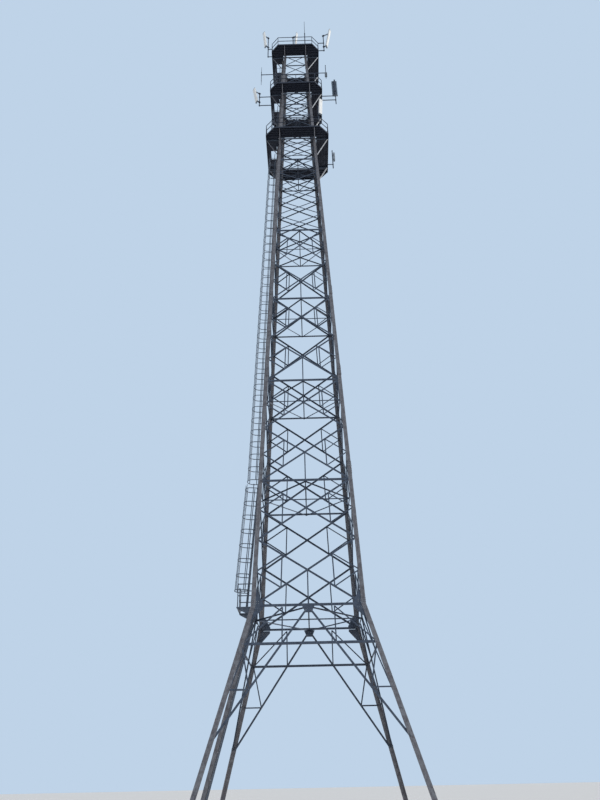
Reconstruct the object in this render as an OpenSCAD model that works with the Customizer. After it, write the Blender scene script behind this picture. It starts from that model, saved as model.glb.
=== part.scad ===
/* [Tower] */
// Height of the waist, where the splayed base meets the slender body
waist_z = 4100; // [3700:10:4500]
// Half width over the leg faces at the ground
ground_half = 2300; // [2150:10:2500]
// Half width over the leg faces at the waist
waist_half = 1250; // [1180:5:1320]
// Half width over the leg faces at the top deck
top_half = 472; // [450:1:500]
// Height of one tall bay of the body
bay_h = 3000; // [2850:10:3150]
// Height of one short crossed panel above the tall bays
panel_h = 750; // [700:5:800]
// Height of each of the two panels below the lowest deck
head_panel_h = 625; // [560:5:700]
// Height of one crossed panel between the middle and the top deck
top_panel_h = 700; // [660:5:750]

/* [Legs] */
// Flange width of the leg angles
leg_w = 100; // [90:1:110]
// Thickness of the leg angles
leg_t = 9; // [7:0.5:11]
// Length of a leg above the top deck
leg_stub = 250; // [200:5:300]
// Side of a square base plate
foot_w = 320; // [300:2:340]
// Thickness of a base plate
foot_t = 20; // [16:1:26]
// Radius of an anchor bolt hole
anchor_r = 13; // [11:0.5:14]
// Distance of an anchor bolt hole from the middle of its plate, along each side
anchor_off = 120; // [112:1:128]

/* [Bracing] */
// Width of the main diagonals
brace_w = 44; // [38:1:50]
// Width of the horizontals
chord_w = 50; // [44:1:56]
// Width of the struts that only stiffen
strut_w = 28; // [22:1:32]
// Width of the short crossed diagonals near the top
upper_w = 32; // [26:1:36]
// Thickness of every brace
brace_t = 5; // [4:0.5:7]
// Width of a brace's outstanding leg
rib_h = 26; // [20:1:30]
// Height of the feet of the base's inverted V on the legs
vee_foot_z = 1500; // [1400:10:1700]
// Height of the horizontal in the splayed base
base_chord_z = 3280; // [3100:10:3400]
// Width of the gusset plates at the waist
gusset_w = 225; // [180:5:260]
// Height of the gusset plates at the waist, above and below it
gusset_h = 300; // [240:10:360]

/* [Decks] */
// Half width of the lowest deck
deck_low_half = 1155; // [1120:5:1190]
// Half width of the middle deck
deck_mid_half = 1030; // [1000:5:1060]
// Half width of the top deck
deck_top_half = 985; // [960:5:1010]
// Share of a deck's half width that its corner is cut back by
deck_cut = 0.28; // [0.24:0.01:0.32]
// Thickness of the deck plate
deck_t = 6; // [5:0.5:8]
// Depth of the beams under a deck
beam_h = 60; // [50:1:70]
// Thickness of the beams under a deck
beam_t = 14; // [10:1:18]
// How far below the beams a knee brace meets its leg
knee_drop = 900; // [800:10:1000]
// Width of a knee brace
knee_w = 34; // [28:1:40]
// Height of the railing
rail_h = 550; // [500:5:600]
// Width of railing tubes and posts
rail_w = 24; // [20:1:28]

/* [Ladder] */
// Distance of the ladder's middle from the middle of the tower's left side
ladder_u = 50; // [30:1:70]
// Width of the ladder between its rails
ladder_w = 200; // [180:2:220]
// Gap between the left side and the ladder
ladder_gap = 60; // [50:1:75]
// Extra gap of the leaning flight above the waist, at its foot
lower_gap = 150; // [130:1:170]
// Extra gap of the leaning flight at the first joint of the body
lean_end_gap = 50; // [45:1:60]
// Height of the landing above the waist
landing_up = 240; // [200:5:280]
// Distance between rungs
rung_step = 150; // [140:1:160]
// Radius of a rung
rung_r = 6; // [5:0.5:8]
// Thickness of the ladder's rails
stile_t = 8; // [6:0.5:10]
// Depth of the ladder's rails
stile_w = 30; // [24:1:36]
// Distance between the hoops of the ladder cage
hoop_step = 375; // [350:5:400]
// Half width of the ladder cage
cage_half = 165; // [155:1:175]
// Thickness of hoops and cage straps
hoop_t = 4; // [3:0.5:5]
// Width of hoops and cage straps
hoop_w = 20; // [16:1:24]

/* [Cable run] */
// Distance of the cable run's middle from the middle of the left side, towards the front
tray_u = 235; // [225:1:245]
// Width of the cable run
tray_w = 150; // [130:2:160]
// Depth of the cable run's side rails
tray_deep = 78; // [70:1:86]
// Gap between the left side and the cable run
tray_gap = 12; // [10:0.5:16]
// Number of feeder cables
cables = 6; // [4:1:6]
// Radius of a feeder cable
cable_r = 9; // [7:0.5:10]

/* [Antennas] */
// Radius of the antenna poles
pole_r = 19; // [16:0.5:22]
// Down tilt of the tall panels, as they hang
panel_tilt = 10; // [8:1:12]
// Running clearance between a pole and the clamps that turn on it
clamp_gap = 0.3; // [0.2:0.05:0.5]

/* [Hidden] */

// The heights of the main levels
body_bays = 4;
upper_z = waist_z + body_bays * bay_h;
head_z = upper_z + 5 * panel_h;
low_z = head_z + 2 * head_panel_h;
mid_z = low_z + 4 * panel_h;
top_z = mid_z + 4 * top_panel_h;

// How the sides lean in
base_lean = (ground_half - waist_half) / waist_z;
body_lean = (waist_half - top_half) / (top_z - waist_z);
base_tilt = atan(base_lean);
body_tilt = atan(body_lean);
function half_at(z) = z < waist_z ? ground_half - base_lean * z : waist_half - body_lean * (z - waist_z);
function slope_at(z) = z < waist_z ? z / cos(base_tilt) : (z - waist_z) / cos(body_tilt);

// Where braces end on a leg's flange, measured from the leg's outer edge
lap = 62;
gusset_out = 15;
chord_out = 9;
seat = 0.2;
far = 2 * top_z;

steel = "#8b8078";
dark_steel = "#4d5560";
white_shell = "#e6e6e2";

// The outer plane of the front side: x across, y up the slope, z outwards
module base_side() {
    translate([0, -ground_half, 0])
        rotate([90 - base_tilt, 0, 0])
            children();
}

module body_side() {
    translate([0, -waist_half, waist_z])
        rotate([90 - body_tilt, 0, 0])
            children();
}

module base_slab(d0, d1) {
    base_side()
        translate([-far / 2, -far / 2, -d1])
            cube([far, far, d1 - d0]);
}

module body_slab(d0, d1) {
    body_side()
        translate([-far / 2, -far / 2, -d1])
            cube([far, far, d1 - d0]);
}

module level_slab(z0, z1) {
    translate([0, -far, z0])
        cube([far, far, z1 - z0]);
}

// The leg at the front right corner
module base_leg() {
    difference() {
        intersection() {
            base_slab(0, leg_w);
            rotate([0, 0, 90])
                base_slab(0, leg_w);
            level_slab(foot_t, waist_z);
        }
        intersection() {
            base_slab(leg_t, 2 * leg_w);
            rotate([0, 0, 90])
                base_slab(leg_t, 2 * leg_w);
        }
    }
}

module body_leg() {
    difference() {
        intersection() {
            body_slab(0, leg_w);
            rotate([0, 0, 90])
                body_slab(0, leg_w);
            level_slab(waist_z, top_z + leg_stub);
        }
        intersection() {
            body_slab(leg_t, 2 * leg_w);
            rotate([0, 0, 90])
                body_slab(leg_t, 2 * leg_w);
        }
    }
}

module leg(corner) {
    color(steel)
        rotate([0, 0, 90 * corner]) {
            base_leg();
            body_leg();
        }
}

foot_mid = half_at(foot_t) - leg_w / 2;
module base_plates() {
    color(steel)
        for (corner = [0:3])
            rotate([0, 0, 90 * corner])
                translate([foot_mid, -foot_mid, 0])
                    difference() {
                        translate([-foot_w / 2, -foot_w / 2, 0])
                            cube([foot_w, foot_w, foot_t]);
                        for (sx = [-1, 1], sy = [-1, 1])
                            translate([sx * anchor_off, sy * anchor_off, -1])
                                cylinder(h = foot_t + 2, r = anchor_r, $fn = 48);
                    }
}

// A brace is [start, end, width], its outstanding leg on the left of its run
module flat_of(brace) {
    run = brace[1] - brace[0];
    translate(brace[0])
        rotate(atan2(run[1], run[0]))
            translate([0, -brace[2] / 2])
                square([norm(run), brace[2]]);
}

module rib_of(brace) {
    run = brace[1] - brace[0];
    translate(brace[0])
        rotate(atan2(run[1], run[0]))
            translate([0, brace[2] / 2 - brace_t])
                square([norm(run), brace_t]);
}

// Braces lie inside the legs' flanges and end below the height v_top
module braces(list, v_top) {
    translate([0, 0, -leg_t - brace_t])
        linear_extrude(brace_t)
            difference() {
                union() {
                    for (brace = list)
                        flat_of(brace);
                    children();
                }
                above(v_top);
            }
    translate([0, 0, -leg_t - rib_h])
        linear_extrude(rib_h)
            difference() {
                union() {
                    for (brace = list)
                        rib_of(brace);
                }
                above(v_top);
            }
}

module above(v) {
    translate([-far / 2, v])
        square(far);
}

function corner_at(side, z) = [side * (half_at(z) - lap), slope_at(z)];
function between(a, b, share) = a + (b - a) * share;
function middle(a, b) = (a + b) / 2;
// Where the diagonals from half widths a (below) and b (above) cross
function cross_share(za, zb) = (half_at(za) - lap) / (half_at(za) + half_at(zb) - 2 * lap);
function crossing(za, zb) = [0, between(slope_at(za), slope_at(zb), cross_share(za, zb))];

// A horizontal from leg to leg, its outstanding leg below; it runs past the diagonals' ends
function level_bar(z, w) = [
    corner_at(1, z) + [chord_out, 0],
    corner_at(-1, z) - [chord_out, 0],
    w
];
function level_chord(z) = level_bar(z, chord_w);

function side_struts(side, za, zb) =
    let (
        low = middle(crossing(za, zb), corner_at(side, za)),
        high = middle(crossing(za, zb), corner_at(side, zb)),
        leg_point = corner_at(side, (za + zb) / 2)
    )
    [[low, high, strut_w], [low, leg_point, strut_w], [high, leg_point, strut_w]];

function cross_panel(za, zb, w) = [
    [corner_at(-1, za), corner_at(1, zb), w],
    [corner_at(-1, zb), corner_at(1, za), w]
];

function tall_bay(z0) =
    let (zm = z0 + bay_h / 2, z1 = z0 + bay_h)
    concat(
        [level_chord(z0)],
        cross_panel(z0, zm, brace_w),
        cross_panel(zm, z1, brace_w),
        side_struts(-1, z0, zm),
        side_struts(1, z0, zm),
        side_struts(-1, zm, z1),
        side_struts(1, zm, z1),
        [[[0, slope_at(z0)], crossing(z0, zm), strut_w]]
    );

// Gusset plates at the waist, in the braces' layer: reach is how far up or down the leg they run
function gusset_edge(side, z) = corner_at(side, z) + [side * gusset_out, 0];
module waist_gussets(root_z, reach) {
    for (side = [-1, 1]) {
        root = gusset_edge(side, root_z);
        tip = gusset_edge(side, waist_z + reach);
        polygon([
            root,
            tip,
            tip - [side * gusset_w / 3, 0],
            root + [-side * gusset_w, sign(reach) * chord_w],
            root - [side * gusset_w, 0]
        ]);
    }
}

// The tall bays end under the first horizontal of the short panels
bays_v = body_v(upper_z) - chord_w / 2 - seat;
module body_bracing(turn) {
    color(dark_steel)
        rotate([0, 0, 90 * turn])
            body_side()
                braces([for (bay = [0:body_bays - 1]) each tall_bay(waist_z + bay * bay_h)], bays_v)
                    waist_gussets(waist_z + 1, gusset_h);
}

upper_levels = concat(
    [for (i = [0:4]) upper_z + i * panel_h],
    [for (i = [0:1]) head_z + i * head_panel_h],
    [for (i = [0:3]) low_z + i * panel_h],
    [for (i = [0:4]) mid_z + i * top_panel_h]
);
chord_levels = [upper_z, head_z, low_z, mid_z, top_z - chord_w];
thin_levels = concat(
    [for (i = [1:3]) low_z + i * panel_h],
    [for (i = [1:3]) mid_z + i * top_panel_h]
);

module upper_bracing(turn) {
    color(dark_steel)
        rotate([0, 0, 90 * turn])
            body_side()
                braces(concat(
                    [for (z = chord_levels) level_chord(z)],
                    [for (z = thin_levels) level_bar(z, upper_w)],
                    [for (i = [0:len(upper_levels) - 2])
                        each cross_panel(upper_levels[i], upper_levels[i + 1], upper_w)]
                ), body_v(top_z));
}

// The base's braces end just under the horizontal at the waist
base_top_z = waist_z - chord_w / 2 - 3;
base_v = slope_at(base_top_z);
vee_top_z = base_top_z - brace_w / 3;
vee_top = [0, slope_at(vee_top_z)];
function vee_at(side, z) = between(vee_top, corner_at(side, vee_foot_z),
    (vee_top_z - z) / (vee_top_z - vee_foot_z));

function base_struts(side) =
    let (
        knot = vee_at(side, base_chord_z),
        top = [knot[0], base_v - strut_w / 2],
        chord_leg = corner_at(side, base_chord_z),
        mid_z_base = (base_chord_z + vee_foot_z) / 2,
        low_knot = vee_at(side, mid_z_base),
        low_leg = corner_at(side, mid_z_base)
    )
    [
        [top, knot, strut_w],
        [top, chord_leg, strut_w],
        [low_knot, low_leg, strut_w],
        [low_knot, chord_leg, strut_w]
    ];

module vee_gusset() {
    half = gusset_w * 0.6;
    polygon([
        [-half, base_v], [half, base_v],
        [half / 2, base_v - gusset_h / 2], [-half / 2, base_v - gusset_h / 2]
    ]);
}

module base_bracing(turn) {
    color(dark_steel)
        rotate([0, 0, 90 * turn])
            base_side()
                braces(concat(
                    [level_chord(base_chord_z)],
                    [[corner_at(-1, vee_foot_z), vee_top, brace_w]],
                    [[vee_top, corner_at(1, vee_foot_z), brace_w]],
                    base_struts(-1),
                    base_struts(1)
                ), base_v) {
                    waist_gussets(base_top_z, -gusset_h);
                    vee_gusset();
                }
}

// The flat bracing inside the tower hangs under the horizontals
plan_levels = concat([for (i = [0:body_bays]) waist_z + i * bay_h], [head_z]);
module plan_ring(z) {
    reach = half_at(z) - leg_t - rib_h / 2;
    under = z - chord_w / 2 * cos(body_tilt) - (leg_t + rib_h) * sin(body_tilt) - seat;
    mids = [[0, -reach], [reach, 0], [0, reach], [-reach, 0]];
    bars = concat(
        [for (i = [0:3]) [mids[i], mids[(i + 1) % 4], strut_w]],
        [[mids[0], mids[2], strut_w], [mids[1], mids[3], strut_w]]
    );
    translate([0, 0, under - brace_t])
        linear_extrude(brace_t)
            for (bar = bars)
                flat_of(bar);
    translate([0, 0, under - strut_w])
        linear_extrude(strut_w)
            for (bar = bars)
                rib_of(bar);
}

module plan_bracing() {
    color(dark_steel)
        for (z = plan_levels)
            plan_ring(z);
}

// Decks: a square with cut corners, open around the tower
function deck_outline(h, c) = [
    [h, h - c], [h - c, h], [c - h, h], [-h, h - c], [-h, c - h], [c - h, -h], [h - c, -h], [h, c - h]
];
function inset_cut(c, d) = c - d * (2 - sqrt(2));

module deck_ring(h, inner_h) {
    c = h * deck_cut;
    difference() {
        polygon(deck_outline(h, c));
        square(2 * inner_h, center = true);
    }
}

// The ladder hatch in a deck, beside the opening that the tower passes through
hatch_in = 26;
hatch_back = 215;
hatch_front = 140;
hatch_long = 300;
function hatch_x(z) = half_at(z) + hatch_in;

// The slot for the cable run, in the decks that it passes
slot_clear = 15;
slot_front = tray_u + tray_w / 2 + slot_clear;
slot_deep = tray_gap + tray_deep + slot_clear;

module deck(z, h) {
    color(dark_steel)
        translate([0, 0, z])
            linear_extrude(deck_t)
                difference() {
                    deck_ring(h, half_at(z) + hatch_in);
                    translate([-hatch_x(z) - hatch_long, -hatch_front])
                        square([hatch_long + 1, hatch_front + hatch_back]);
                    if (z < top_z)
                        translate([-half_at(z) - slot_deep, -slot_front])
                            square([slot_deep, slot_front - hatch_front + 1]);
                }
}

// A beam and its knee brace, from a leg of the front side to the deck's rim
module outrigger(z, h, x) {
    top = z;
    low = z - beam_h;
    knee_z = low - knee_drop;
    beam_end = h - beam_t - seat;
    knee_end = beam_end - 10;
    translate([x, 0, 0])
        rotate([90, 0, -90])
            translate([0, 0, -beam_t / 2])
                linear_extrude(beam_t) {
                    polygon([[half_at(top), top], [half_at(low), low], [beam_end, low], [beam_end, top]]);
                    polygon([
                        [half_at(knee_z), knee_z],
                        [half_at(knee_z + knee_w), knee_z + knee_w],
                        [knee_end - knee_w, low + 1],
                        [knee_end, low + 1],
                        [knee_end, low]
                    ]);
                }
}

module deck_frame(z, h) {
    c = h * deck_cut;
    color(dark_steel)
        translate([0, 0, z - beam_h])
            linear_extrude(beam_h)
                difference() {
                    polygon(deck_outline(h, c));
                    polygon(deck_outline(h - beam_t, inset_cut(c, beam_t)));
                }
}

module deck_brackets(z, h) {
    color(steel)
        for (turn = [0:3])
            rotate([0, 0, 90 * turn])
                for (side = [-1, 1])
                    outrigger(z, h, side * (half_at(z) - leg_w / 2));
}

module railing(z, h) {
    outer = h - rail_inset;
    outer_c = inset_cut(h * deck_cut, rail_inset);
    posts = concat(
        deck_outline(outer - rail_w / 2, inset_cut(outer_c, rail_w / 2)),
        [[0, outer - rail_w / 2], [0, rail_w / 2 - outer], [outer - rail_w / 2, 0], [rail_w / 2 - outer, 0]]
    );
    color(dark_steel)
        translate([0, 0, z + deck_t]) {
            for (height = [rail_h / 2, rail_h])
                translate([0, 0, height - rail_w])
                    linear_extrude(rail_w)
                        difference() {
                            polygon(deck_outline(outer, outer_c));
                            polygon(deck_outline(outer - rail_w, inset_cut(outer_c, rail_w)));
                        }
            for (p = posts)
                translate([p[0], p[1], 0])
                    cylinder(h = rail_h - 1, r = rail_w * 0.45, $fn = 24);
        }
}

// The left side's planes, for what climbs it
module left_body() {
    rotate([0, 0, -90])
        body_side()
            children();
}

module left_base() {
    rotate([0, 0, -90])
        base_side()
            children();
}
base_top = waist_z / cos(base_tilt);
function body_v(z) = (z - waist_z) / cos(body_tilt);

// A ladder flight of a given length, up its own plane
module flight(length) {
    rungs = floor(length / rung_step) - 1;
    for (side = [-1, 1])
        translate([side * (ladder_w + stile_t) / 2 - stile_t / 2, 0, 0])
            cube([stile_t, length, stile_w]);
    for (i = [0:rungs])
        translate([-ladder_w / 2 - 1, (i + 0.7) * rung_step, stile_w / 2])
            rotate([0, 90, 0])
                cylinder(h = ladder_w + 2, r = rung_r, $fn = 24);
}

// The two bars, a given width apart, that hold a flight or a run off a horizontal of the left side
bracket_w = 20;
bracket_t = stile_t - 2;
module stand_off(u, v, gap, apart) {
    for (side = [-1, 1])
        translate([u + side * apart / 2 - bracket_t / 2, v - bracket_w / 2, -leg_t])
            cube([bracket_t, bracket_w, leg_t + gap + 1]);
}
stiles_apart = ladder_w + stile_t;

// The landing above the waist, beside the foot of the leaning flight
landing_z = waist_z + landing_up;
landing_t = 6;
landing_beam = 36;
landing_out = 450;
landing_front = 150;
base_u = -ladder_u - ladder_w - 130;
landing_back = -base_u + ladder_w / 2 + 45;
ladder_foot_z = 300;
short_v = 16;

// The leaning flight: its foot's height, its gap there and its lean
split_z = waist_z + bay_h;
flight_overlap = 400;
lean_v = body_v(landing_z + landing_t) - 6;
lean_gap = ladder_gap + lower_gap;
split_gap = ladder_gap + lean_end_gap;
lean = atan((lean_gap - split_gap) / (body_v(split_z) - lean_v));
lean_length = (body_v(split_z) - lean_v) / cos(lean) + flight_overlap;

module leaning() {
    left_body()
        translate([0, lean_v, lean_gap])
            rotate([-lean, 0, 0])
                children();
}

module upright() {
    left_body()
        translate([0, 0, ladder_gap])
            children();
}

held_levels = concat([for (i = [2:body_bays]) waist_z + i * bay_h], [head_z, top_z - chord_w]);
module ladder() {
    color(steel) {
        left_base() {
            translate([base_u, slope_at(ladder_foot_z), ladder_gap])
                flight(base_top - slope_at(ladder_foot_z) - 40);
            stand_off(base_u, slope_at(base_chord_z), ladder_gap, stiles_apart);
        }
        upright() {
            translate([base_u, short_v, 0])
                flight(body_v(landing_z) - 10 - short_v);
            translate([-ladder_u, body_v(split_z) + 30, 0])
                flight(body_v(top_z) + rail_h - body_v(split_z) - 30);
        }
        leaning()
            translate([-ladder_u, 0, 0])
                flight(lean_length);
        left_body() {
            stand_off(base_u, short_v - 1, ladder_gap, stiles_apart);
            stand_off(-ladder_u, body_v(split_z), split_gap, stiles_apart);
            for (z = held_levels)
                stand_off(-ladder_u, body_v(z), ladder_gap, stiles_apart);
        }
    }
}

// The cage: each span is the lowest and the highest point on its flight
cage_depth = 160;
cage_clear = 1050;
low_clear = 390;
leaning_span = [low_clear, lean_length - hoop_w];
upright_spans = [
    [body_v(split_z) + flight_overlap + 90, body_v(low_z) - 120],
    [body_v(low_z) + cage_clear, body_v(mid_z) - 120],
    [body_v(mid_z) + cage_clear, body_v(top_z) - 120]
];

module cage_hoops(span) {
    count = floor((span[1] - span[0] - hoop_w) / hoop_step);
    for (i = [0:count])
        translate([-ladder_u, span[0] + i * hoop_step, stile_w])
            children();
}

// A hoop has twelve flats; one is drawn at an angle from straight out
flat_in = cage_half * cos(15) - hoop_t;
flat_w = 2 * flat_in * tan(15) - seat;
module hoop_flat(angle) {
    translate([0, 0, cage_depth])
        rotate([0, angle, 0])
            translate([-flat_w / 2, 0, flat_in])
                cube([flat_w, hoop_w, hoop_t]);
}

// A hoop's side, from its foot on the ladder's rail round to the end of its first flat
hoop_in = flat_in / cos(15);
module hoop_side() {
    translate([0, hoop_w, 0])
        rotate([90, 0, 0])
            linear_extrude(hoop_w)
                polygon([
                    [ladder_w / 2, 0],
                    [cage_half, 0],
                    [cage_half, cage_depth],
                    [cage_half * cos(30), cage_depth + cage_half * sin(30)],
                    [hoop_in * cos(30), cage_depth + hoop_in * sin(30)],
                    [hoop_in, cage_depth],
                    [hoop_in, hoop_t],
                    [ladder_w / 2, hoop_t]
                ]);
}

module cage_side_span(side, span) {
    cage_hoops(span)
        mirror([side > 0 ? 0 : 1, 0, 0])
            hoop_side();
    translate([side * (hoop_in + 1 - hoop_t / 2) - hoop_t / 2 - ladder_u, span[0], stile_w + cage_depth / 2])
        cube([hoop_t, span[1] - span[0], hoop_w]);
}

module cage_side(side) {
    color(steel) {
        leaning()
            cage_side_span(side, leaning_span);
        upright()
            for (span = upright_spans)
                cage_side_span(side, span);
    }
}

// The outer half of the cage: flats with a strap inside each
module cage_outer_span(span) {
    for (angle = [-45, -15, 15, 45]) {
        cage_hoops(span)
            hoop_flat(angle);
        translate([-ladder_u, span[0], stile_w + cage_depth])
            rotate([0, angle, 0])
                translate([-hoop_w / 2, 0, flat_in - hoop_t])
                    cube([hoop_w, span[1] - span[0], hoop_t + 1]);
    }
}

module cage_outer_side() {
    color(steel) {
        leaning()
            cage_outer_span(leaning_span);
        upright()
            for (span = upright_spans)
                cage_outer_span(span);
    }
}

// Outer face of the body's braces at a height
function body_skin(z) = waist_half - body_lean * (z - waist_z) - leg_t / cos(body_tilt);

module landing_bracket(y) {
    reach = half_at(landing_z) + landing_out;
    translate([0, y + stile_t, 0])
        rotate([90, 0, 0])
            linear_extrude(stile_t)
                polygon([
                    [-half_at(landing_z), landing_z + 1],
                    [-body_skin(waist_z + chord_w * 0.4), waist_z + chord_w * 0.4],
                    [-body_skin(waist_z - chord_w * 0.4), waist_z - chord_w * 0.4],
                    [20 - reach, landing_z - landing_beam],
                    [-reach, landing_z - landing_beam / 2],
                    [-reach, landing_z + 1]
                ]);
}

// The landing's railing runs round its back part and along its front end
module landing_railing() {
    near = half_at(landing_z) + rail_w;
    reach = half_at(landing_z) + landing_out - rail_w;
    front = rail_w - landing_front;
    back = landing_back - rail_w;
    gate = ladder_u + cage_half + 2 * rail_w;
    for (p = [[near, front], [reach, front], [near, back], [reach, back], [reach, gate]])
        translate([-p[0], p[1], landing_z + 1])
            cylinder(h = rail_h + landing_t, r = rail_w * 0.45, $fn = 24);
    for (height = [rail_h / 2, rail_h])
        translate([0, 0, landing_z + landing_t + height - rail_w]) {
            for (y = [front, back])
                translate([-reach, y - rail_w * 0.4, 0])
                    cube([reach - near, rail_w * 0.8, rail_w * 0.8]);
            translate([-reach - rail_w * 0.4, gate, 0])
                cube([rail_w * 0.8, back - gate, rail_w * 0.8]);
        }
}

module waist_landing() {
    reach = half_at(landing_z) + landing_out;
    color(steel) {
        difference() {
            translate([-reach, -landing_front, landing_z])
                cube([landing_out, landing_front + landing_back, landing_t]);
            translate([40 - reach, -base_u - ladder_w / 2, landing_z - 1])
                cube([landing_out - 60 - ladder_gap - stile_w, ladder_w, landing_t + 2]);
        }
        landing_bracket(-landing_front);
        landing_bracket(landing_back - stile_t);
        landing_railing();
    }
}

// The run that carries the feeder cables up the left side
module tray_run(v0, v1) {
    for (side = [-1, 1])
        translate([tray_u + side * (tray_w - stile_t) / 2 - stile_t / 2, v0, 0])
            cube([stile_t, v1 - v0, tray_deep]);
    for (v = [v0 + 100:500:v1 - 60])
        translate([tray_u - tray_w / 2 + 1, v, 0])
            cube([tray_w - 2, 20, stile_t]);
}

// How much shorter a run is at the waist, where the side's slope changes, the further out it lies
function kink(out) = out * tan((base_tilt - body_tilt) / 2);

module cable_tray() {
    cut = kink(tray_gap + tray_deep) + 2;
    rails_apart = tray_w - stile_t;
    color(steel) {
        left_base() {
            translate([0, 0, tray_gap])
                tray_run(slope_at(ladder_foot_z), base_top - cut);
            stand_off(tray_u, slope_at(base_chord_z), tray_gap, rails_apart);
        }
        left_body() {
            translate([0, 0, tray_gap])
                tray_run(cut, body_v(top_z) - 20);
            stand_off(tray_u, short_v - 1, tray_gap, rails_apart);
            for (z = concat([split_z, low_z + 2 * panel_h, mid_z + 2 * top_panel_h], held_levels))
                stand_off(tray_u, body_v(z), tray_gap, rails_apart);
        }
    }
}

// The cables lie on the run's rungs
cable_pitch = (tray_w - 2 * stile_t - 6) / cables;
module cable_run(v0, v1) {
    for (i = [0:cables - 1])
        translate([tray_u + (i - (cables - 1) / 2) * cable_pitch, v0, stile_t + cable_r + seat])
            rotate([-90, 0, 0])
                cylinder(h = v1 - v0, r = cable_r, $fn = 24);
}

module feeder_cables() {
    cut = kink(tray_gap + stile_t + cable_r) - 3;
    color(dark_steel) {
        left_base()
            translate([0, 0, tray_gap])
                cable_run(slope_at(ladder_foot_z), base_top - cut);
        left_body()
            translate([0, 0, tray_gap])
                cable_run(cut, body_v(top_z) - 40);
    }
}

// The rod stands on a cap plate on the front right leg
rod_r = 20;
rod_tip_r = 9;
rod_h = 1600;
rod_tip_h = 1040;
module lightning_rod() {
    at = half_at(top_z + leg_stub) - leg_w / 3;
    color(steel)
        translate([at, -at, top_z + leg_stub]) {
            translate([-leg_w / 3, -leg_w / 3, 0])
                cube([leg_w * 2 / 3, leg_w * 2 / 3, 8]);
            translate([0, 0, 4])
                cylinder(h = rod_h, r = rod_r, $fn = 24);
            translate([0, 0, rod_h - 10])
                cylinder(h = rod_tip_h, r = rod_tip_r, $fn = 24);
        }
}

// Each antenna: [x, y of its pole, facing, height of its lower clamp, length, width, depth, tilt, pole below it]
top_right = [1210, -690, 340, top_z + 260, 1170, 140, 70, panel_tilt, 310];
top_left = [-1150, -500, 215, top_z + 700, 1000, 140, 70, 6, 750];
top_front = [-75, -760, 330, top_z + 300, 850, 110, 50, 6, 300 - deck_t];
mid_left = [-1500, -100, 212, mid_z + 200, 800, 150, 70, panel_tilt, 260];
mid_right = [1600, -60, 90, mid_z + 850, 1060, 225, 80, 2, 850];
low_right = [800, -1230, 300, low_z + 480, 800, 140, 70, 6, 280];

hinge_out = 62;
panel_gap = 30;
panel_drop = 80;
clamp_h = 50;
clamp_wall = 10;
arm_share = 0.72;
arm_t = 16;
function arm_height(a) = a[4] * arm_share;

module at_antenna(a) {
    translate([a[0], a[1], a[3]])
        rotate([0, 0, a[2]])
            children();
}

// A clamp turns on the pole, and its arm reaches the panel
module pole_clamp(z, reach) {
    translate([0, 0, z])
        difference() {
            union() {
                translate([-pole_r - clamp_wall, -pole_r - clamp_wall, -clamp_h / 2])
                    cube([2 * (pole_r + clamp_wall), 2 * (pole_r + clamp_wall), clamp_h]);
                translate([pole_r, -arm_t / 2, -arm_t])
                    cube([reach - pole_r, arm_t, 2 * arm_t]);
            }
            translate([0, 0, -clamp_h])
                cylinder(h = 2 * clamp_h, r = pole_r + clamp_gap, $fn = 48);
        }
}

module panel(a) {
    color(white_shell)
        at_antenna(a) {
            translate([hinge_out, 0, 0])
                rotate([0, a[7], 0])
                    translate([panel_gap, -a[5] / 2, -panel_drop])
                        cube([a[6], a[5], a[4]]);
            pole_clamp(0, hinge_out + panel_gap + a[6] / 3);
            pole_clamp(arm_height(a), hinge_out + arm_height(a) * sin(a[7]) + panel_gap + a[6] / 3);
        }
}

module antenna_pole(a) {
    at_antenna(a)
        translate([0, 0, -a[8]])
            cylinder(h = a[8] + arm_height(a) + clamp_h, r = pole_r, $fn = 48);
}

// Square tubes between the poles and what carries them
tube_w = 24;
module tube_x(x0, x1, y, z) {
    translate([min(x0, x1), y - tube_w / 2, z - tube_w / 2])
        cube([abs(x1 - x0), tube_w, tube_w]);
}

module tube_y(y0, y1, x, z) {
    translate([x - tube_w / 2, min(y0, y1), z - tube_w / 2])
        cube([tube_w, abs(y1 - y0), tube_w]);
}

rail_inset = 4;
function rail_mid(z, height) = z + deck_t + height - rail_w / 2;
function beam_mid(z) = z - beam_h / 2;

module side_arms(a, z, h) {
    side = sign(a[0]);
    tube_x(side * h, a[0], a[1], beam_mid(z));
    tube_x(side * (h - rail_inset), a[0], a[1], rail_mid(z, rail_h));
}

module top_antenna_poles() {
    flange = 3 * pole_r;
    color(steel) {
        for (a = [top_right, top_left]) {
            antenna_pole(a);
            side_arms(a, top_z, deck_top_half);
        }
        antenna_pole(top_front);
        translate([top_front[0] - flange, top_front[1] - flange, top_z + deck_t])
            cube([2 * flange, 2 * flange, 10]);
    }
}

module mid_antenna_poles() {
    rail_x = deck_mid_half - rail_inset;
    color(steel) {
        antenna_pole(mid_left);
        side_arms(mid_left, mid_z, deck_mid_half);
        antenna_pole(mid_right);
        for (height = [rail_h / 2, rail_h])
            tube_x(rail_x, mid_right[0], mid_right[1], rail_mid(mid_z, height));
    }
}

module low_antenna_poles() {
    color(steel) {
        antenna_pole(low_right);
        for (height = [rail_h / 2, rail_h])
            tube_y(rail_inset - deck_low_half, low_right[1], low_right[0], rail_mid(low_z, height));
    }
}

// Arms that leave a leg's flange on the tower's side, above a thin horizontal
arm_up = 110;
arm_z = mid_z + 2 * top_panel_h + arm_up;
arm_y = leg_w / 2 - half_at(arm_z);
arm_root = half_at(arm_z - tube_w / 2);
whip_x = -1410;
whip_r = 12;
whip_below = 730;
whip_h = 1290;
module whip_antenna() {
    color(steel) {
        tube_x(-arm_root, whip_x, arm_y, arm_z);
        translate([whip_x, arm_y, arm_z - whip_below])
            cylinder(h = whip_h, r = whip_r, $fn = 24);
    }
}

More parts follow.
